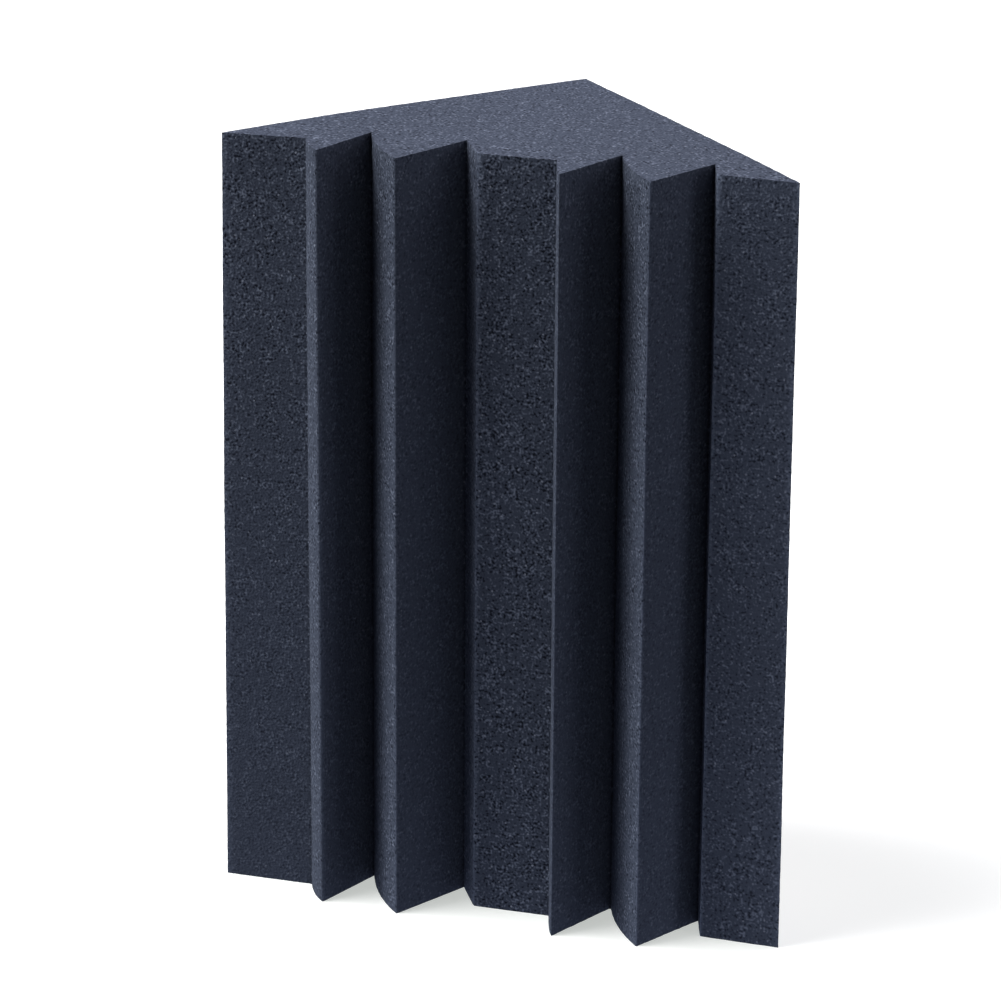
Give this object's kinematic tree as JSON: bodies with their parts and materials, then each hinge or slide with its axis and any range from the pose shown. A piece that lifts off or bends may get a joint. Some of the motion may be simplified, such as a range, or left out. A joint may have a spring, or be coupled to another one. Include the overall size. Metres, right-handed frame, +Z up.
{
  "type": "corner bass trap",
  "caption": "Upright right-angled prism of acoustic foam with a toothed front and self-adhesive wall faces, for damping low frequencies in a room corner.",
  "frame": {"origin": "bottom centre of the bounding box, on the surface that the trap stands on", "axes": "+Z up along the trap's height, -Y out of the toothed front, +X to the right seen from the front; the two wall faces look towards -X+Y and +X+Y and meet at the back corner"},
  "size_m": [0.175, 0.1008, 0.24],
  "materials": {
    "foam": "open-cell foam, matt",
    "mounting_tape": "closed-cell foam tape",
    "release_liner": "satin"
  },
  "bodies": {
    "trap": {"foam_body": "foam", "tape_left_upper": "mounting_tape", "tape_left_lower": "mounting_tape", "tape_right_upper": "mounting_tape", "tape_right_lower": "mounting_tape"},
    "left_upper_liner": {"liner_left_upper": "release_liner"},
    "left_lower_liner": {"liner_left_lower": "release_liner"},
    "right_upper_liner": {"liner_right_upper": "release_liner"},
    "right_lower_liner": {"liner_right_lower": "release_liner"}
  },
  "joints": [
    {"name": "peel_left_upper", "type": "slide", "parent": "trap", "child": "left_upper_liner", "axis": [-0.7071, 0.7071, 0], "range_m": [0, 0.04]},
    {"name": "peel_left_lower", "type": "slide", "parent": "trap", "child": "left_lower_liner", "axis": [-0.7071, 0.7071, 0], "range_m": [0, 0.04]},
    {"name": "peel_right_upper", "type": "slide", "parent": "trap", "child": "right_upper_liner", "axis": [0.7071, 0.7071, 0], "range_m": [0, 0.04]},
    {"name": "peel_right_lower", "type": "slide", "parent": "trap", "child": "right_lower_liner", "axis": [0.7071, 0.7071, 0], "range_m": [0, 0.04]}
  ]
}
